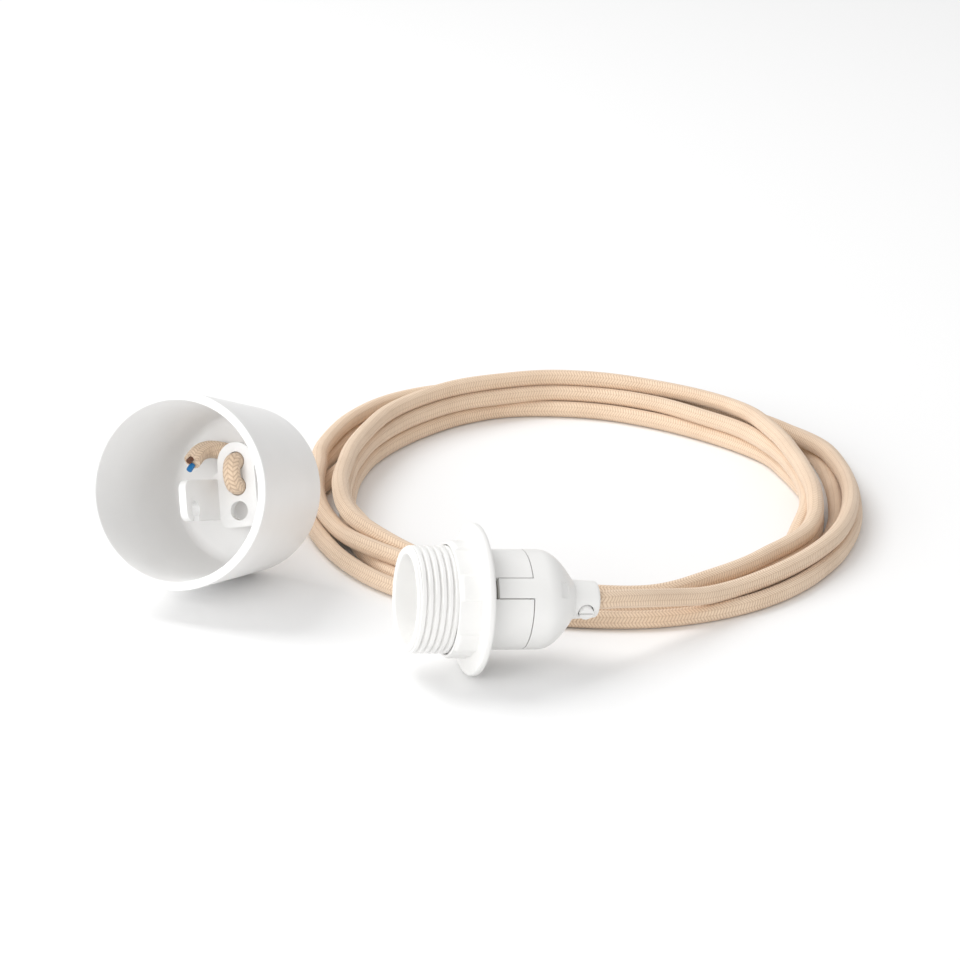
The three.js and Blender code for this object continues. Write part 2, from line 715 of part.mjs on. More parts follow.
function cupCord() {
  const atHole = [0, HOLE_TOP - HOLE_STEP];
  const plateWay = pointsIn(cupFrame().multiply(hookPlace()), [
    [...atHole, HOOK_BACK - PLATE_BEND - SEAT_GAP - PLATE_THICKNESS],
    [...atHole, HOOK_BACK - PLATE_BEND - SEAT_GAP],
  ]);
  const inside = pointsIn(cupFrame(), HOLE_ROUTE);
  return tube([...CUP_ROUTE, ...inside, ...plateWay], CORD_R, CORD_SIDES, 18);
}

const cordSet = new THREE.Group();
cordSet.add(
  lampHolder(),
  ceilingEnd(),
  piece('cord_coil', cordCoil(), textile),
  piece('cord_at_holder', neckCord(), textile),
  piece('cord_at_cup', cupCord(), textile),
);

export default cordSet;
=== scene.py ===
"""Dresses a pendant cord set on a white surface: ceiling cup, coiled textile cord and lamp holder."""
import math

import bpy
import numpy as np
from mathutils import Matrix, Vector


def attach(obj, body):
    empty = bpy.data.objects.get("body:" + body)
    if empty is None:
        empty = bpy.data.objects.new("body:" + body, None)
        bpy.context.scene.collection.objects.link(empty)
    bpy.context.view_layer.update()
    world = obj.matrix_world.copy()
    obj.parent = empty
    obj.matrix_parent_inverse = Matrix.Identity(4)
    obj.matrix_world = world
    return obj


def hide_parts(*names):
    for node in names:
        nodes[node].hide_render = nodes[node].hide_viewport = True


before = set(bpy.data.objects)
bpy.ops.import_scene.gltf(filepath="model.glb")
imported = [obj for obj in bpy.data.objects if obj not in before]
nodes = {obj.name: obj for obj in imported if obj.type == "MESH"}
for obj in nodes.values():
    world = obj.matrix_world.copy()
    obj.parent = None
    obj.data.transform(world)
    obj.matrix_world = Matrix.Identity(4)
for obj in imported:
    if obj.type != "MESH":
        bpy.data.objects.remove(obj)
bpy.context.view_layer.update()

MM = 0.001

# Camera and view, metres and degrees
LOOK_AT = (0.05334, 0.15691, 0.0)
CAMERA_DISTANCE = 1.6
CAMERA_ELEVATION = 20.0
VIEW_ANGLE = 14.51

# Where the holder and the cup lie, as the frame has them: millimetres and degrees
HOLDER_PLACE = (48.84, -50.44, 28.448)
HOLDER_TURN = 14.64
HOLDER_LIFT = 5.7
CUP_PLACE = (-38.31, 63.01, 30.306)
CUP_TURN = 65.75
CUP_LIFT = 17.85

# Holder sizes, millimetres along its axis from the flange's front face
SKIRT_REACH = 24.0
THREAD_R = 20.0
THREAD_PITCH = 2.5
THREAD_DEPTH = 1.15
THREAD_GROOVE = 0.24
LIP_R = 19.4
LIP_LENGTH = 1.2
MOUTH_R = 16.7
MOUTH_TAPER = 0.8
MOUTH_DEPTH = 11.0
LAMP_CREST_R = 12.4
LAMP_DEPTH = 1.0
LAMP_PITCH = 3.6
LAMP_TURNS = 5
BODY_R = 18.65
BODY_WALL = 1.8
TONGUE_REACH = 20.2
TONGUE_TIP = 7.1
TONGUE_FROM = 21.0
TONGUE_WIDTH = 25.5
TONGUE_PLAY = 0.35
FLANGE_R = 28.35
FLANGE_THICKNESS = 3.2
HUB_LENGTH = 8.8
HUB_R = 21.3
HUB_BORE = 20.35
PAD_HEIGHT = 0.75
PAD_WIDTH = 26.6
PAD_FROM = 19.0
CAP_STRAIGHT = 5.5
CAP_DOME = 13.8
NECK_R = 7.4
NECK_LENGTH = 9.8
NECK_TAPER = 0.6
WINDOW_WIDTH = 6.2
WINDOW_LENGTH = 4.8
WINDOW_FRONT = 30.8
WINDOW_FLOOR_R = 15.9
WINDOW_SLOPE = 31.5
GRIP_ANGLE = -21.0
GRIP_BACK = 44.1
GRIP_HOLE_R = 3.05
SEAM = 0.3

# Cup sizes, millimetres along its axis from the closed end
CUP_DEPTH = 63.5
CUP_RIM_R = 38.3
CUP_END_R = 32.7
CUP_END_ROUND = 4.7
CUP_RIM_WALL = 3.4
CUP_WALL = 2.6
CUP_FLOOR = 2.6
CUP_HOLE_R = 4.6
CORD_HOLE_R = 3.85

# Hook: its middle across the cup, its turn about the cup's axis, and its plate
PLATE_X = 2.4
PLATE_Y = 1.6
PLATE_TILT = 13.0
HOOK_BACK = 13.2
PLATE_FRONT = 16.2
HOLE_TOP = 10.0
HOLE_STEP = 9.8

# Cord
CORD_R = 3.5
CORD_START = 37.8
CORD_STEP = 1.7
CORD_SIDES = 20

# Braid: length of a stitch, millimetres, and columns of stitches round the cord
STITCH_LENGTH = 1.3
BRAID_COLUMNS = 10

# Coil: the oval that its innermost turn follows, and where each pass of the cord crosses each station.
# A station is its angle round the oval, then each pass's distance out from the oval and its height.
COIL_CENTRE = (92.54, 125.11)
COIL_HALF = (95.0, 114.5)
STATIONS = (
    (285, (None, (12.0, 9.6), (1.7, 3.5), (8.8, 3.5), (15.9, 3.5), (23.0, 3.5))),
    (300, ((21.8, 9.7), (8.4, 10.2), (3.9, 3.5), (11.0, 3.5), (18.1, 3.5), (25.2, 3.5))),
    (312, ((20.6, 9.8), (6.5, 9.8), (1.5, 3.5), (8.6, 3.5), (17.6, 3.5), (25.0, 3.5))),
    (318, ((20.6, 10.0), (6.3, 10.0), (1.2, 3.5), (8.3, 3.5), (17.2, 3.5), (24.3, 3.5))),
    (325, ((20.8, 10.3), (7.4, 10.0), (1.3, 3.5), (8.5, 3.5), (16.0, 3.5), (23.3, 3.5))),
    (332, ((20.9, 10.5), (8.6, 10.2), (2.4, 4.4), (8.4, 3.5), (15.4, 3.5), (22.6, 3.5))),
    (338, ((20.4, 10.4), (8.3, 11.8), (2.2, 7.2), (7.8, 3.5), (14.8, 3.5), (21.8, 3.5))),
    (345, ((19.7, 10.2), (5.6, 15.2), (2.4, 9.6), (6.2, 3.5), (14.3, 3.5), (21.3, 3.5))),
    (358, ((18.8, 10.1), (0.2, 17.1), (0.2, 10.3), (3.6, 3.5), (13.6, 3.5), (20.7, 3.5))),
    (369, ((18.4, 9.7), (-1.8, 17.1), (-1.2, 10.2), (0.6, 3.5), (14.8, 3.5), (22.0, 3.5))),
    (377, ((17.5, 10.4), (-1.7, 17.1), (-1.6, 10.2), (-0.5, 3.5), (16.8, 3.5), (23.9, 3.5))),
    (386, ((15.6, 9.6), (-0.9, 17.0), (-2.3, 10.2), (-0.6, 3.5), (19.2, 3.5), (26.3, 3.5))),
    (397, ((13.2, 9.4), (2.4, 16.2), (-2.9, 10.2), (-3.4, 3.5), (17.2, 3.5), (24.3, 3.5))),
    (410, ((9.8, 9.8), (4.6, 15.0), (-4.8, 10.2), (-5.8, 3.5), (13.0, 3.5), (20.2, 3.5))),
    (426, ((12.2, 9.7), (5.4, 14.6), (-1.6, 9.8), (-5.4, 3.5), (8.8, 3.5), (15.9, 3.5))),
    (442, ((8.7, 9.7), (5.2, 15.8), (1.6, 9.7), (-2.1, 3.5), (5.0, 3.5), (12.1, 3.5))),
    (455, ((12.1, 9.9), (6.9, 16.1), (3.9, 9.8), (0.8, 3.5), (7.9, 3.5), (15.4, 3.5))),
    (468, ((15.2, 9.1), (5.4, 16.6), (2.4, 10.3), (4.0, 3.5), (11.1, 3.5), (19.5, 3.5))),
    (479, ((20.5, 10.3), (4.7, 17.3), (3.0, 10.5), (3.5, 3.5), (10.6, 3.5), (22.0, 3.5))),
    (490, ((24.6, 10.2), (4.4, 17.1), (2.2, 10.4), (1.8, 3.5), (9.2, 3.5), (22.8, 3.5))),
    (505, ((22.4, 10.3), (2.6, 17.3), (1.0, 10.5), (0.6, 3.5), (8.0, 3.5), (20.8, 3.5))),
    (515, ((19.0, 10.4), (0.4, 17.4), (0.3, 10.5), (0.3, 3.5), (7.6, 3.5), (17.8, 3.5))),
    (525, ((15.8, 10.9), (-0.2, 17.4), (-0.4, 10.5), (-0.6, 3.5), (8.0, 3.5), (17.2, 4.0))),
    (531, ((13.2, 10.6), (0.0, 17.4), (-0.3, 10.5), (-0.8, 3.5), (10.5, 3.5), (19.6, 7.8))),
    (537, ((12.4, 10.4), (0.2, 17.3), (-0.2, 10.4), (-1.0, 3.5), (13.0, 3.5), None)),
    (550, ((11.6, 9.4), (3.0, 17.1), (1.4, 10.3), (0.0, 3.5), (15.2, 3.5), None)),
    (565, ((9.5, 8.2), (5.2, 14.8), (0.0, 9.7), (3.5, 3.5), (15.8, 3.5), None)),
    (576, ((8.8, 10.1), (2.0, 12.4), (-0.6, 6.0), (6.6, 3.5), (16.6, 3.5), None)),
    (585, ((5.6, 9.7), (-1.5, 9.8), (2.0, 3.5), (9.1, 3.5), (17.2, 3.5), None)),
    (600, ((5.9, 9.7), (-2.8, 8.2), (2.3, 3.5), (9.4, 3.5), (16.8, 3.5), None)),
    (615, ((4.5, 10.5), (-4.9, 3.9), (2.2, 3.5), (9.3, 3.5), (16.4, 3.5), None)),
    (630, ((8.5, 10.2), (-2.6, 3.5), (4.5, 3.5), (11.6, 3.5), (18.7, 3.5), None)),
)

# The cord's way from the holder to the coil, and from the coil to the cup, millimetres
NECK_ROUTE = (
    (98.5, -37.4, 23.1),
    (104.0, -33.9, 22.0),
    (110.5, -29.2, 20.3),
    (117.6, -22.9, 18.0),
    (124.7, -16.7, 15.7),
    (130.8, -11.5, 13.8),
    (137.5, -6.0, 12.0),
)
CUP_ROUTE = (
    (-21.7, 128.4, 14.4),
    (-25.2, 112.6, 17.2),
    (-28.9, 96.6, 20.2),
    (-32.9, 81.1, 24.0),
)
CUP_HOLE_ROUTE = ((-2.0, -1.4, -10.0), (-0.4, -0.3, 0.0), (0.3, 0.2, 2.6))

# Colours, linear
HOLDER_WHITE = (0.86, 0.855, 0.84)
CUP_WHITE = (0.92, 0.917, 0.91)
INSULATOR = (0.78, 0.76, 0.7)
YARN_LIGHT = (0.91, 0.72, 0.54)
# Yarn colour used in the furrows between yarns and columns: painted shade
YARN_FURROW_SHADE = (0.56, 0.38, 0.25)
CORE_BROWN = (0.13, 0.05, 0.025)
CORE_BLUE = (0.015, 0.2, 0.52)
BRASS = (0.72, 0.5, 0.2)
STEEL = (0.6, 0.6, 0.6)


# Camera

def place_camera():
    """Puts the camera on a level line behind the front of the set, looking down at its middle."""
    data = bpy.data.cameras.new("camera")
    data.sensor_width = 36.0
    data.lens_unit = "FOV"
    data.angle = math.radians(VIEW_ANGLE)
    data.clip_start = 0.05
    data.clip_end = 20.0
    camera = bpy.data.objects.new("camera", data)
    lift = math.radians(CAMERA_ELEVATION)
    away = Vector((0.0, -math.cos(lift), math.sin(lift)))
    camera.location = Vector(LOOK_AT) + CAMERA_DISTANCE * away
    camera.rotation_euler = (math.radians(90.0 - CAMERA_ELEVATION), 0.0, 0.0)
    bpy.context.scene.collection.objects.link(camera)
    bpy.context.scene.camera = camera


# Frames of the turned groups

def mouth_frame(turn, lift, place):
    """Matrix, in millimetres, of a group whose z points out of a mouth that faces left and to the viewer."""
    turn, lift = math.radians(turn), math.radians(lift)
    z = Vector((-math.cos(turn) * math.cos(lift), -math.sin(turn) * math.cos(lift), math.sin(lift)))
    x = Vector((math.sin(turn), -math.cos(turn), 0.0))
    y = z.cross(x)
    matrix = Matrix((x, y, z)).transposed().to_4x4()
    matrix.translation = Vector(place)
    return matrix


HOLDER = mouth_frame(HOLDER_TURN, HOLDER_LIFT, HOLDER_PLACE)
CUP = mouth_frame(CUP_TURN, CUP_LIFT, CUP_PLACE)
HOOK = CUP @ Matrix.Translation((PLATE_X, PLATE_Y, 0.0)) @ Matrix.Rotation(math.radians(PLATE_TILT), 4, "Z")


def placed(points, matrix):
    """Points of a group, in the set's frame and in metres: the group's matrix times each point."""
    turn = np.array(matrix.to_3x3())
    return (np.asarray(points) @ turn.T + np.array(matrix.translation)) * MM


# Mesh building

def mesh_piece(name, vertices, faces, material, uv=None, sharp=35.0):
    """A piece from arrays of vertices and four-cornered faces, smooth apart from its sharp edges."""
    mesh = bpy.data.meshes.new(name)
    mesh.vertices.add(len(vertices))
    mesh.vertices.foreach_set("co", np.asarray(vertices, np.float32).ravel())
    mesh.loops.add(faces.size)
    mesh.loops.foreach_set("vertex_index", faces.astype(np.int32).ravel())
    mesh.polygons.add(len(faces))
    mesh.polygons.foreach_set("loop_start", np.arange(0, faces.size, 4, dtype=np.int32))
    mesh.update(calc_edges=True)
    mesh.validate()
    if uv is not None:
        layer = mesh.uv_layers.new(name="along_and_around")
        layer.data.foreach_set("uv", uv.astype(np.float32).ravel())
    piece = bpy.data.objects.new(name, mesh)
    bpy.context.scene.collection.objects.link(piece)
    finish_piece(piece, material, sharp)
    return piece


def finish_piece(piece, material, sharp=35.0):
    piece.data.materials.clear()
    piece.data.materials.append(material)
    piece.data.shade_smooth()
    piece.data.set_sharp_from_angle(angle=math.radians(sharp))
    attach(piece, "root")


def wrapped_faces(rows, columns, close_rows):
    """Faces of a grid of vertices whose columns always close on themselves and whose rows may."""
    row = np.arange(rows if close_rows else rows - 1)[:, None]
    column = np.arange(columns)[None, :]
    after = (row + 1) % rows
    right = (column + 1) % columns
    here, there = row * columns, after * columns
    corners = (here + column, here + right, there + right, there + column)
    return np.stack([np.broadcast_to(c, (len(row), columns)) for c in corners], -1).reshape(-1, 4)


def turned_points(radius, height, sides):
    """Turned surface: each profile point goes round the axis at its radius, which may vary with the angle."""
    angle = np.arange(sides) * 2.0 * np.pi / sides
    radius = np.broadcast_to(radius, (len(height), sides))
    return np.stack([radius * np.cos(angle), radius * np.sin(angle),
                     np.broadcast_to(height[:, None], radius.shape)], -1).reshape(-1, 3)


def fine_profile(corners, step):
    """Profile through the corners, with extra points so that none is further than a step from the next."""
    corners = np.asarray(corners + corners[:1], float)
    spans = np.linalg.norm(np.diff(corners, axis=0), axis=1)
    counts = np.maximum(1, np.ceil(spans / step).astype(int))
    pieces = [np.linspace(a, b, n, endpoint=False) for a, b, n in zip(corners[:-1], corners[1:], counts)]
    return np.concatenate(pieces)


def rounded(corners, radii, steps=5):
    """Closed profile whose corners are rounded: each arc touches both sides, replacing the corner."""
    corners = [Vector(c) for c in corners]
    points = []
    for i, (corner, radius) in enumerate(zip(corners, radii)):
        before, after = corners[i - 1] - corner, corners[(i + 1) % len(corners)] - corner
        if radius == 0:
            points.append(tuple(corner))
            continue
        reach = min(radius, 0.49 * before.length, 0.49 * after.length)
        start, end = corner + reach * before.normalized(), corner + reach * after.normalized()
        for t in np.linspace(0.0, 1.0, steps):
            points.append(tuple((1 - t) ** 2 * start + 2 * t * (1 - t) * corner + t ** 2 * end))
    return points


def turned_piece(name, profile, matrix, material, sides=144):
    """A closed profile of radius and height pairs, turned round the group's axis."""
    profile = np.asarray(profile, float)
    points = turned_points(profile[:, :1], profile[:, 1], sides)
    faces = wrapped_faces(len(profile), sides, True)
    return mesh_piece(name, placed(points, matrix), faces[:, ::-1], material)


def carved(piece, tools, operation):
    """Adds or takes away the tools' shapes, and removes the tools."""
    for tool in tools:
        change = piece.modifiers.new(tool.name, "BOOLEAN")
        change.operation = operation
        change.solver = "EXACT"
        change.object = tool
    bpy.context.view_layer.update()
    shaped = bpy.data.meshes.new_from_object(piece.evaluated_get(bpy.context.evaluated_depsgraph_get()))
    piece.modifiers.clear()
    piece.data = shaped
    for tool in tools:
        bpy.data.objects.remove(tool)


def prism(name, corners, low, high, matrix):
    """Straight prism on a flat outline of corners, used only to carve."""
    outline = np.asarray(corners, float)
    count = len(outline)
    bottom = np.column_stack([outline, np.full(count, low)])
    top = np.column_stack([outline, np.full(count, high)])
    mesh = bpy.data.meshes.new(name)
    sides = [(i, (i + 1) % count, count + (i + 1) % count, count + i) for i in range(count)]
    ends = [tuple(reversed(range(count))), tuple(range(count, 2 * count))]
    mesh.from_pydata(placed(np.vstack([bottom, top]), matrix).tolist(), [], sides + ends)
    tool = bpy.data.objects.new(name, mesh)
    bpy.context.scene.collection.objects.link(tool)
    return tool


def ring_sector(name, inner, outer, start, width, low, high, matrix):
    """Part of a ring between two radii and two angles in degrees."""
    angle = np.radians(np.linspace(start, start + width, 14))
    outline = np.vstack([
        np.column_stack([outer * np.cos(angle), outer * np.sin(angle)]),
        np.column_stack([inner * np.cos(angle[::-1]), inner * np.sin(angle[::-1])]),
    ])
    return prism(name, outline, low, high, matrix)


# Cord path and surface

def smooth_path(points, step):
    """Smooth curve through the points, as equal steps along it.

    Between two points it is a cubic whose slope at each point is the mean of the slopes on both
    sides, weighted towards the nearer neighbour.
    """
    points = np.asarray(points, float)
    spans = np.linalg.norm(np.diff(points, axis=0), axis=1)[:, None]
    slopes = np.diff(points, axis=0) / spans
    inner = (slopes[:-1] * spans[1:] + slopes[1:] * spans[:-1]) / (spans[:-1] + spans[1:])
    slopes = np.vstack([slopes[:1], inner, slopes[-1:]])
    t = np.linspace(0.0, 1.0, 16, endpoint=False)[None, :, None]
    start, end = points[:-1, None], points[1:, None]
    leave, arrive = (slopes[:-1] * spans)[:, None], (slopes[1:] * spans)[:, None]
    curve = ((2 * t**3 - 3 * t**2 + 1) * start + (t**3 - 2 * t**2 + t) * leave
             + (3 * t**2 - 2 * t**3) * end + (t**3 - t**2) * arrive).reshape(-1, 3)
    curve = np.vstack([curve, points[-1:]])
    along = np.concatenate([[0.0], np.cumsum(np.linalg.norm(np.diff(curve, axis=0), axis=1))])
    marks = np.linspace(0.0, along[-1], int(round(along[-1] / step)) + 1)
    return np.column_stack([np.interp(marks, along, curve[:, k]) for k in range(3)]), along[-1]


def tube_piece(name, path, radius, sides, material, reference=(0.0, 0.0, 1.0)):
    """Round tube: at each point of the path, a circle across it, with its ends closed on the path.

    The circle's first direction is across both the path and the reference direction.
    """
    along = np.gradient(path, axis=0)
    along /= np.linalg.norm(along, axis=1)[:, None]
    side = np.cross(along, reference)
    side /= np.linalg.norm(side, axis=1)[:, None]
    up = np.cross(side, along)
    angle = np.arange(sides) * 2.0 * np.pi / sides
    round_it = np.cos(angle)[None, :, None] * side[:, None] + np.sin(angle)[None, :, None] * up[:, None]
    rings = path[:, None] + radius * round_it
    caps = [path[:1, None] + 0.02 * radius * round_it[:1], path[-1:, None] + 0.02 * radius * round_it[-1:]]
    rings = np.concatenate([caps[0], rings, caps[1]])
    rows = len(rings)
    faces = wrapped_faces(rows, sides, False)
    distance = np.concatenate([[0.0], np.linalg.norm(np.diff(path, axis=0), axis=1)]).cumsum()
    distance = np.concatenate([distance[:1], distance, distance[-1:]])
    row = np.repeat(np.arange(rows - 1), sides)
    column = np.tile(np.arange(sides), rows - 1)
    uv = np.stack([
        np.column_stack([distance[row], column / sides]),
        np.column_stack([distance[row], (column + 1) / sides]),
        np.column_stack([distance[row + 1], (column + 1) / sides]),
        np.column_stack([distance[row + 1], column / sides]),
    ], 1)
    return mesh_piece(name, rings.reshape(-1, 3) * MM, faces, material, uv, sharp=60.0)


def coil_point(angle, out, height):
    """A point outside the oval by the given distance along both half axes."""
    turn = math.radians(angle)
    return (COIL_CENTRE[0] + (COIL_HALF[0] + out) * math.cos(turn),
            COIL_CENTRE[1] + (COIL_HALF[1] + out) * math.sin(turn), height)


def group_points(matrix, points):
    return [tuple(matrix @ Vector(p)) for p in points]


def cord_route():
    """From inside the holder's cap, through its neck, six times round the coil, and into the cup."""
    neck_end = -TONGUE_REACH - SEAM - CAP_STRAIGHT - CAP_DOME - NECK_LENGTH
    along_axis = (-CORD_START, neck_end + 0.5 * NECK_LENGTH, neck_end)
    route = group_points(HOLDER, [(0, 0, z) for z in along_axis])
    route += NECK_ROUTE
    for turn in range(6):
        route += [coil_point(angle, *spots[turn]) for angle, spots in STATIONS if spots[turn]]
    route += CUP_ROUTE
    route += group_points(CUP, CUP_HOLE_ROUTE)
    route += group_points(HOOK, [(0, HOLE_TOP - HOLE_STEP, HOOK_BACK - back) for back in (5.9, 2.9)])
    return route


def stitch_route():
    """Up through the hook plate's middle hole, over, down its top hole, round behind it and out beside it."""
    low = HOLE_TOP - HOLE_STEP
    high = PLATE_FRONT + 3.6
    return group_points(HOOK, [
        (0, low, HOOK_BACK - 2.6),
        (0, low, PLATE_FRONT - 1),
        (0, low + 0.6, PLATE_FRONT + 2.2),
        (0, 0.5 * (low + HOLE_TOP), high + 0.6),
        (0, HOLE_TOP - 0.6, PLATE_FRONT + 2.2),
        (0, HOLE_TOP, PLATE_FRONT - 1),
        (-0.4, HOLE_TOP + 0.2, HOOK_BACK - 2),
        (-3.6, HOLE_TOP + 2.4, HOOK_BACK - 5),
        (-8.8, HOLE_TOP + 4.8, HOOK_BACK - 4.6),
        (-13, HOLE_TOP + 5.8, HOOK_BACK - 1),
        (-14.8, HOLE_TOP + 4.7, HOOK_BACK + 4),
        (-15.2, HOLE_TOP + 2.7, HOOK_BACK + 7.8),
        (-15.6, HOLE_TOP + 1.3, HOOK_BACK + 9.6),
    ])


# Shader nodes

class Shader:
    """A material or node group under construction, with short calls for the nodes that it needs."""

    def __init__(self, tree):
        self.tree = tree

    def node(self, kind, **settings):
        made = self.tree.nodes.new(kind)
        for name, value in settings.items():
            setattr(made, name, value)
        return made

    def feed(self, socket, value):
        if isinstance(value, bpy.types.NodeSocket):
            self.tree.links.new(value, socket)
        else:
            socket.default_value = value

    def math(self, operation, first, second=0.0, third=0.0):
        made = self.node("ShaderNodeMath", operation=operation)
        for socket, value in zip(made.inputs, (first, second, third)):
            self.feed(socket, value)
        return made.outputs[0]

    def noise(self, vector, scale, detail=3.0, roughness=0.5):
        made = self.node("ShaderNodeTexNoise")
        self.feed(made.inputs["Vector"], vector)
        self.feed(made.inputs["Scale"], scale)
        self.feed(made.inputs["Detail"], detail)
        self.feed(made.inputs["Roughness"], roughness)
        return made.outputs["Fac"]

    def mix(self, share, first, second):
        made = self.node("ShaderNodeMix", data_type="RGBA")
        self.feed(made.inputs[0], share)
        self.feed(made.inputs[6], first)
        self.feed(made.inputs[7], second)
        return made.outputs[2]

    def range(self, value, low, high, new_low, new_high):
        made = self.node("ShaderNodeMapRange")
        for socket, number in zip(made.inputs, (value, low, high, new_low, new_high)):
            self.feed(socket, number)
        return made.outputs[0]


def new_group(name, inputs, outputs):
    """An empty node group with the named inputs and outputs, each with its socket kind."""
    tree = bpy.data.node_groups.new(name, "ShaderNodeTree")
    for label, kind in inputs.items():
        tree.interface.new_socket(label, in_out="INPUT", socket_type=kind)
    for label, kind in outputs.items():
        tree.interface.new_socket(label, in_out="OUTPUT", socket_type=kind)
    shader = Shader(tree)
    return shader, shader.node("NodeGroupInput").outputs, shader.node("NodeGroupOutput").inputs


COLOUR, NUMBER, VECTOR = "NodeSocketColor", "NodeSocketFloat", "NodeSocketVector"


def moulded_group():
    """Moulded plastic: faint clouds of tone, uneven gloss and a fine eroded grain."""
    s, given, result = new_group(
        "moulded", {"Vector": VECTOR, "Colour": COLOUR, "Gloss": NUMBER, "Grain": NUMBER},
        {"Colour": COLOUR, "Roughness": NUMBER, "Height": NUMBER})
    clouds = s.noise(given["Vector"], 45.0, 3.0)
    darker = s.mix(1.0, given["Colour"], given["Colour"])
    tone = s.node("ShaderNodeHueSaturation")
    s.feed(tone.inputs["Color"], darker)
    s.feed(tone.inputs["Value"], s.range(clouds, 0.3, 0.7, 0.975, 1.01))
    s.feed(result["Colour"], tone.outputs[0])
    smears = s.noise(given["Vector"], 160.0, 4.0)
    s.feed(result["Roughness"], s.math("ADD", given["Gloss"], s.range(smears, 0.3, 0.7, -0.05, 0.07)))
    grain = s.noise(given["Vector"], given["Grain"], 2.0)
    s.feed(result["Height"], grain)
    return s.tree


def braid_group():
    """Braided sleeve: columns of slanting yarns that change direction from one column to the next, coloured
    darker in the furrows between yarns and columns as painted shade.
    """
    s, given, result = new_group(
        "braid", {"Along": NUMBER, "Around": NUMBER, "Vector": VECTOR, "Light": COLOUR, "Furrow shade": COLOUR},
        {"Colour": COLOUR, "Roughness": NUMBER, "Height": NUMBER})
    column = s.math("MULTIPLY", given["Around"], BRAID_COLUMNS)
    across = s.math("FRACT", column)
    odd = s.math("MODULO", s.math("FLOOR", column), 2.0)
    way = s.math("MULTIPLY_ADD", odd, 2.0, -1.0)
    slant = s.math("MULTIPLY", s.math("SUBTRACT", across, 0.5), way)
    phase = s.math("MULTIPLY_ADD", given["Along"], 1.0 / STITCH_LENGTH, slant)
    yarn = s.math("ABSOLUTE", s.math("COSINE", s.math("MULTIPLY", phase, math.pi)))
    yarn = s.math("POWER", yarn, 0.6)
    edge = s.math("ABSOLUTE", s.math("MULTIPLY_ADD", across, 2.0, -1.0))
    furrow = s.math("MULTIPLY_ADD", s.math("POWER", edge, 6.0), -0.5, 1.0)
    body = s.math("MULTIPLY", yarn, furrow)
    fibres = s.noise(given["Vector"], 2600.0, 3.0, 0.6)
    slow = s.noise(given["Vector"], 60.0, 2.0)
    height = s.math("MULTIPLY_ADD", fibres, 0.25, body)
    s.feed(result["Height"], height)
    # Colour follows the yarn relief: the darker yarn colour in the low furrows is painted shade
    share = s.math("ADD", s.range(body, 0.0, 0.9, 0.0, 0.85), s.range(fibres, 0.3, 0.7, -0.12, 0.12))
    share = s.math("ADD", share, s.range(slow, 0.35, 0.65, -0.06, 0.06))
    limit = s.node("ShaderNodeClamp")
    s.feed(limit.inputs["Value"], share)
    s.feed(result["Colour"], s.mix(limit.outputs[0], given["Furrow shade"], given["Light"]))
    s.feed(result["Roughness"], s.range(body, 0.0, 1.0, 0.95, 0.72))
    return s.tree


def metal_group():
    """Stamped metal: fine drawn lines, with stains of tone and gloss."""
    s, given, result = new_group(
        "stamped", {"Vector": VECTOR, "Colour": COLOUR, "Gloss": NUMBER},
        {"Colour": COLOUR, "Roughness": NUMBER, "Height": NUMBER})
    stretched = s.node("ShaderNodeMapping")
    s.feed(stretched.inputs["Vector"], given["Vector"])
    s.feed(stretched.inputs["Scale"], (1.0, 1.0, 12.0))
    lines = s.noise(stretched.outputs[0], 600.0, 3.0)
    stains = s.noise(given["Vector"], 200.0, 3.0)
    tone = s.node("ShaderNodeHueSaturation")
    s.feed(tone.inputs["Color"], given["Colour"])
    s.feed(tone.inputs["Value"], s.range(stains, 0.3, 0.7, 0.85, 1.05))
    s.feed(result["Colour"], tone.outputs[0])
    s.feed(result["Roughness"], s.math("ADD", given["Gloss"], s.range(lines, 0.3, 0.7, -0.06, 0.1)))
    s.feed(result["Height"], lines)
    return s.tree


GROUPS = {"moulded": moulded_group(), "braid": braid_group(), "stamped": metal_group()}


def dressed_material(name, group, inputs, bump, constants):
    """A Principled surface fed by one of the shared groups, with the group's height as its bump."""
    material = bpy.data.materials.new(name)
    material.use_nodes = True
    s = Shader(material.node_tree)
    principled = material.node_tree.nodes["Principled BSDF"]
    effect = s.node("ShaderNodeGroup")
    effect.node_tree = GROUPS[group]
    place = s.node("ShaderNodeTexCoord")
    s.feed(effect.inputs["Vector"], place.outputs["Object"])
    if group == "braid":
        split = s.node("ShaderNodeSeparateXYZ")
        s.feed(split.inputs[0], place.outputs["UV"])
        s.feed(effect.inputs["Along"], split.outputs[0])
        s.feed(effect.inputs["Around"], split.outputs[1])
    for label, value in inputs.items():
        s.feed(effect.inputs[label], (*value, 1.0) if isinstance(value, tuple) else value)
    relief = s.node("ShaderNodeBump")
    relief.inputs["Strength"].default_value = bump[0]
    relief.inputs["Distance"].default_value = bump[1] * MM
    s.feed(relief.inputs["Height"], effect.outputs["Height"])
    s.feed(principled.inputs["Base Color"], effect.outputs["Colour"])
    s.feed(principled.inputs["Roughness"], effect.outputs["Roughness"])
    s.feed(principled.inputs["Normal"], relief.outputs[0])
    for label, value in constants.items():
        principled.inputs[label].default_value = value
    return material


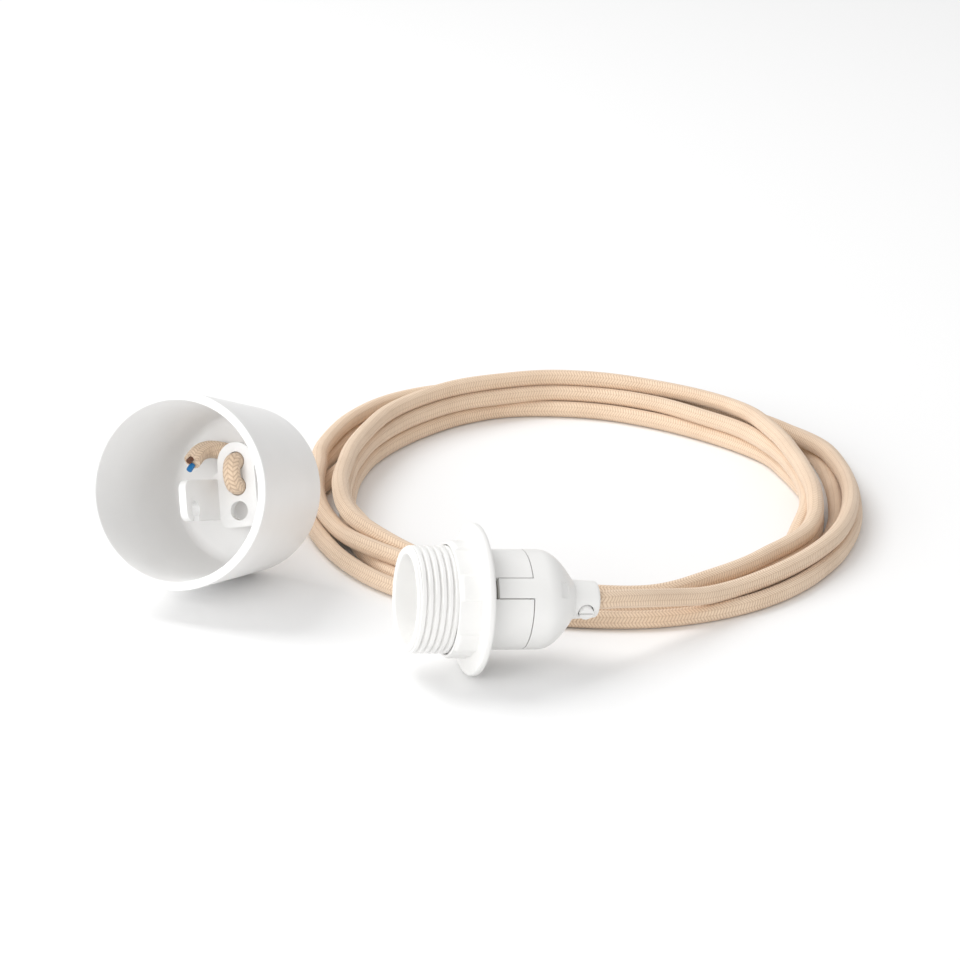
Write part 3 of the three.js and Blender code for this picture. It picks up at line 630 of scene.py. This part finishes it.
def make_materials():
    plain = {"IOR": 1.49}
    return {
        "holder": dressed_material("holder_plastic", "moulded",
                                   {"Colour": HOLDER_WHITE, "Gloss": 0.34, "Grain": 1500.0},
                                   (0.12, 0.03), plain),
        "cup": dressed_material("cup_plastic", "moulded",
                                {"Colour": CUP_WHITE, "Gloss": 0.46, "Grain": 1100.0},
                                (0.12, 0.03), plain),
        "insulator": dressed_material("insulator", "moulded",
                                      {"Colour": INSULATOR, "Gloss": 0.55, "Grain": 900.0},
                                      (0.2, 0.05), plain),
        "core_brown": dressed_material("core_brown", "moulded",
                                       {"Colour": CORE_BROWN, "Gloss": 0.4, "Grain": 900.0},
                                       (0.1, 0.03), plain),
        "core_blue": dressed_material("core_blue", "moulded",
                                      {"Colour": CORE_BLUE, "Gloss": 0.4, "Grain": 900.0},
                                      (0.1, 0.03), plain),
        "brass": dressed_material("contact_brass", "stamped", {"Colour": BRASS, "Gloss": 0.3}, (0.15, 0.02),
                                  {"Metallic": 1.0}),
        "steel": dressed_material("screw_steel", "stamped", {"Colour": STEEL, "Gloss": 0.3}, (0.15, 0.02),
                                  {"Metallic": 1.0}),
        "textile": dressed_material("cord_textile", "braid", {"Light": YARN_LIGHT, "Furrow shade": YARN_FURROW_SHADE},
                                    (0.75, 0.25), {"Sheen Weight": 0.25, "Sheen Roughness": 0.5, "IOR": 1.4}),
    }


# Pieces

def make_cords(materials):
    """The cord with its coil as one continuous tube, and its end tied through the hook."""
    path, _ = smooth_path(cord_route(), CORD_STEP)
    path[:, 2] = np.maximum(path[:, 2], CORD_R)
    cord = tube_piece("cord", path, CORD_R, CORD_SIDES, materials["textile"])
    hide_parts("cord_at_holder", "cord_coil", "cord_at_cup")
    stitch_path, _ = smooth_path(stitch_route(), 0.7)
    across = tuple(HOOK.to_3x3().col[0])
    stitch = tube_piece("tied_end", stitch_path, CORD_R, CORD_SIDES, materials["textile"],
                        across)
    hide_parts("cord_end")


def groove_depth(turns):
    """Depth from 0 to 1 of a narrow round-bottomed groove, once in each turn."""
    near = np.abs((turns % 1.0) - 0.5) / THREAD_GROOVE
    return np.clip(1.0 - near**1.6, 0.0, 1.0)


def make_skirt(materials):
    """Threaded skirt: a turned shell whose outer groove and lamp thread climb by their pitch each turn."""
    floor = SKIRT_REACH - MOUTH_DEPTH
    thread_top = floor - 1.0
    step_back = thread_top - LAMP_TURNS * LAMP_PITCH - 1.0
    inside = BODY_R - BODY_WALL
    corners = [
        (inside, -TONGUE_REACH), (BODY_R, -TONGUE_REACH), (BODY_R, -FLANGE_THICKNESS),
        (THREAD_R, -FLANGE_THICKNESS), (THREAD_R, SKIRT_REACH - LIP_LENGTH),
        (LIP_R, SKIRT_REACH - LIP_LENGTH),
        (LIP_R, SKIRT_REACH), (MOUTH_R, SKIRT_REACH), (MOUTH_R - MOUTH_TAPER, floor),
        (LAMP_CREST_R, floor), (LAMP_CREST_R, step_back), (inside, step_back),
    ]
    radii = [0.2, 0.2, 0, 0.2, 0.3, 0.1, 0.9, 0.8, 0.4, 0.6, 0.4, 0]
    profile = fine_profile(rounded(corners, radii), 0.22)
    sides = 144
    radius, height = profile[:, :1], profile[:, 1]
    turn = np.arange(sides) / sides
    outer = (np.abs(radius - THREAD_R) < 0.05) & (height[:, None] < SKIRT_REACH - LIP_LENGTH - 0.2)
    fade = np.clip((SKIRT_REACH - LIP_LENGTH - height[:, None]) / 1.2, 0.0, 1.0)
    cut = THREAD_DEPTH * fade * groove_depth(height[:, None] / THREAD_PITCH + turn + 0.3)
    inner = np.abs(radius - LAMP_CREST_R) < 0.05
    fade_in = np.clip((thread_top - height[:, None]) / 1.5, 0.0, 1.0)
    swell = LAMP_DEPTH * fade_in * (0.5 - 0.5 * np.cos(2 * np.pi * (height[:, None] / LAMP_PITCH + turn)))
    points = turned_points(radius - outer * cut + inner * swell, height, sides)
    faces = wrapped_faces(len(profile), sides, True)[:, ::-1]
    skirt = mesh_piece("skirt", placed(points, HOLDER), faces, materials["holder"])
    slots = [ring_sector(f"slot_{side}", LAMP_CREST_R + 2.6, BODY_R + 2, TONGUE_FROM + side, TONGUE_WIDTH,
                         -TONGUE_REACH - 1, -FLANGE_THICKNESS - 1, HOLDER) for side in (0, 180)]
    carved(skirt, slots, "DIFFERENCE")
    finish_piece(skirt, materials["holder"])
    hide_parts("threaded_skirt")


def make_shade_ring(materials):
    """Shade ring: a turned flange and hub with six low pads, which rise over a short slope at each end."""
    corners = [
        (HUB_BORE, -FLANGE_THICKNESS), (FLANGE_R, -FLANGE_THICKNESS), (FLANGE_R, 0.0),
        (HUB_R, 0.0), (HUB_R, HUB_LENGTH), (HUB_BORE, HUB_LENGTH),
    ]
    profile = fine_profile(rounded(corners, [0.3, 1.3, 1.3, 0.4, 0.45, 0.3]), 0.6)
    sides = 288
    radius, height = profile[:, :1], profile[:, 1]
    angle = np.degrees(np.arange(sides) * 2 * np.pi / sides)
    middle = PAD_FROM + 0.5 * PAD_WIDTH
    off = np.abs((angle - middle + 30.0) % 60.0 - 30.0)
    rise = np.clip((0.5 * PAD_WIDTH - off) / 1.6, 0.0, 1.0)
    rise = rise * rise * (3.0 - 2.0 * rise)
    length = np.clip((HUB_LENGTH - 0.7 - height[:, None]) / 0.5, 0.0, 1.0) * (height[:, None] > -0.1)
    on_hub = np.abs(radius - HUB_R) < 0.5
    points = turned_points(radius + PAD_HEIGHT * rise * length * on_hub, height, sides)
    faces = wrapped_faces(len(profile), sides, True)[:, ::-1]
    ring = mesh_piece("ring_nut", placed(points, HOLDER), faces, materials["holder"])
    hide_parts("shade_ring")


def dome(inset):
    """Points down the cap's dome, from its straight wall to its neck."""
    start = -TONGUE_REACH - SEAM - CAP_STRAIGHT
    end = start - CAP_DOME
    corners = np.array([
        (BODY_R - inset, start),
        (BODY_R - inset, start - CAP_DOME * 0.38 + inset * 0.6),
        (NECK_R + 6.5 - inset, end + 4.6 + inset * 0.8),
        (NECK_R - inset, end + inset),
    ])
    t = np.linspace(0.0, 1.0, 25)[:, None]
    weights = ((1 - t) ** 3, 3 * t * (1 - t) ** 2, 3 * t**2 * (1 - t), t**3)
    return [tuple(p) for p in sum(w * c for w, c in zip(weights, corners))]


def make_cap(materials):
    """Cap: a turned dome and neck, joined with two tongues, with the windows and the screw hole cut."""
    front = -TONGUE_REACH - SEAM
    neck_top = front - CAP_STRAIGHT - CAP_DOME
    neck_end = neck_top - NECK_LENGTH
    inside = BODY_R - BODY_WALL
    neck_corners = [(CORD_HOLE_R, neck_end), (NECK_R - NECK_TAPER, neck_end), dome(0.0)[-1]]
    neck_rounding = rounded(neck_corners, [0.5, 1.2, 0])
    inner = [p for p in dome(BODY_WALL) if p[0] > CORD_HOLE_R + 0.3]
    profile = neck_rounding[:-1] + dome(0.0)[::-1]
    profile += [(BODY_R, front), (inside, front)] + inner + [(CORD_HOLE_R, neck_top + BODY_WALL)]
    cap = turned_piece("holder_cap", fine_profile(profile, 1.5), HOLDER, materials["holder"])
    play = math.degrees(TONGUE_PLAY / BODY_R)
    tongues = [ring_sector(f"tongue_{side}", inside, BODY_R, TONGUE_FROM + side + play,
                           TONGUE_WIDTH - 2 * play, front - 1.0, -TONGUE_TIP, HOLDER) for side in (0, 180)]
    carved(cap, tongues, "UNION")
    middle = TONGUE_FROM + 0.5 * TONGUE_WIDTH
    half = 0.5 * WINDOW_WIDTH
    windows = []
    for side in (0, 180):
        floor = (HOLDER @ Matrix.Rotation(math.radians(middle + side), 4, "Z")
                 @ Matrix.Translation((WINDOW_FLOOR_R, 0.0, -WINDOW_FRONT))
                 @ Matrix.Rotation(math.radians(WINDOW_SLOPE), 4, "Y"))
        outline = [(0, -half), (CAP_DOME, -half), (CAP_DOME, half), (0, half)]
        windows.append(prism(f"window_{side}", outline, -WINDOW_LENGTH, 0.0, floor))
    spin = np.linspace(0.0, 2 * np.pi, 32, endpoint=False)
    circle = np.column_stack([GRIP_HOLE_R * np.cos(spin), GRIP_HOLE_R * np.sin(spin)])
    sideways = Matrix.Rotation(math.radians(GRIP_ANGLE), 4, "Z") @ Matrix.Rotation(math.radians(90), 4, "Y")
    at_grip = HOLDER @ Matrix.Translation((0, 0, -GRIP_BACK)) @ sideways
    hole = prism("grip_hole", circle, 0.0, NECK_R + 4, at_grip)
    carved(cap, windows + [hole], "DIFFERENCE")
    finish_piece(cap, materials["holder"])
    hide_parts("cap")


def make_cup(materials):
    """Ceiling cup: a turned cone with a rounded closed end, a flat rim and a hole for the cord."""
    def outside(z):
        return CUP_END_R + (CUP_RIM_R - CUP_END_R) * z / CUP_DEPTH

    inner_end = outside(CUP_FLOOR + 2.0) - CUP_WALL
    corners = [
        (CUP_HOLE_R, 0.0), (CUP_END_R, 0.0), (CUP_RIM_R, CUP_DEPTH), (CUP_RIM_R - CUP_RIM_WALL, CUP_DEPTH),
        (inner_end, CUP_FLOOR), (CUP_HOLE_R, CUP_FLOOR),
    ]
    profile = rounded(corners, [0.5, CUP_END_ROUND * 1.25, 0.8, 0.8, 4.0, 0.5], 9)
    cup = turned_piece("cup", fine_profile(profile, 3.0), CUP, materials["cup"], 192)
    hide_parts("ceiling_cup")


def dress_cad_nodes(materials):
    """Gives the nodes that keep their solid a smooth skin with crisp edges, and their material."""
    finishes = {
        "suspension_hook": "cup", "cord_grip_screw": "holder", "contact_carrier": "insulator",
        "centre_contact": "brass", "side_contact": "brass",
        "terminal_line": "brass", "terminal_neutral": "brass",
        "terminal_screw_line": "steel", "terminal_screw_neutral": "steel",
        "holder_core_brown": "core_brown", "holder_core_blue": "core_blue",
        "end_core_brown": "core_brown", "end_core_blue": "core_blue",
    }
    for name, finish in finishes.items():
        node = nodes[name]
        node.data.materials.clear()
        node.data.materials.append(materials[finish])
        if "custom_normal" in node.data.attributes:
            node.data.attributes.remove(node.data.attributes["custom_normal"])
        node.data.shade_smooth()
        weld = node.modifiers.new("weld", "WELD")
        weld.merge_threshold = 0.01 * MM
        if name == "suspension_hook":
            bevel = node.modifiers.new("moulded edges", "BEVEL")
            bevel.width = 0.3 * MM
            bevel.segments = 3
            bevel.angle_limit = math.radians(50)
        split = node.modifiers.new("crisp edges", "EDGE_SPLIT")
        split.split_angle = math.radians(40)


# Surface and light

def make_stage():
    """A white surface below and behind the set."""
    mesh = bpy.data.meshes.new("surface")
    reach = 6.0
    mesh.from_pydata([(-reach, -reach, 0), (reach, -reach, 0), (reach, reach, 0), (-reach, reach, 0)], [],
                     [(0, 1, 2, 3)])
    surface = bpy.data.objects.new("surface", mesh)
    bpy.context.scene.collection.objects.link(surface)
    material = bpy.data.materials.new("white_surface")
    material.use_nodes = True
    principled = material.node_tree.nodes["Principled BSDF"]
    principled.inputs["Base Color"].default_value = (0.93, 0.93, 0.93, 1.0)
    principled.inputs["Roughness"].default_value = 0.95
    principled.inputs["Specular IOR Level"].default_value = 0.1
    mesh.materials.append(material)


def area_light(name, location, target, size, power):
    data = bpy.data.lights.new(name, "AREA")
    data.shape = "RECTANGLE"
    data.size, data.size_y = size
    data.energy = power
    light = bpy.data.objects.new(name, data)
    light.location = location
    light.rotation_euler = (Vector(target) - Vector(location)).to_track_quat("-Z", "Y").to_euler()
    bpy.context.scene.collection.objects.link(light)


def light_it():
    world = bpy.data.worlds.new("studio")
    world.use_nodes = True
    world.node_tree.nodes["Background"].inputs["Color"].default_value = (1.0, 1.0, 1.0, 1.0)
    world.node_tree.nodes["Background"].inputs["Strength"].default_value = 0.63
    bpy.context.scene.world = world
    area_light("key", (-0.9, 0.6, 1.6), (0.05, 0.1, 0.0), (1.3, 1.3), 19.0)
    area_light("front", (-0.75, -1.6, 0.7), (-0.05, 0.03, 0.04), (1.3, 0.9), 14.0)
    area_light("side", (-1.7, -0.5, 0.6), (0.0, 0.0, 0.03), (1.0, 0.8), 6.0)


def render_settings():
    scene = bpy.context.scene
    scene.render.engine = "CYCLES"
    scene.cycles.samples = 160
    scene.cycles.use_denoising = True
    scene.render.resolution_x = scene.render.resolution_y = 960
    scene.render.resolution_percentage = 100
    scene.view_settings.view_transform = "Standard"


place_camera()
finishes = make_materials()
make_cords(finishes)
make_cup(finishes)
make_skirt(finishes)
make_shade_ring(finishes)
make_cap(finishes)
dress_cad_nodes(finishes)
make_stage()
light_it()
render_settings()
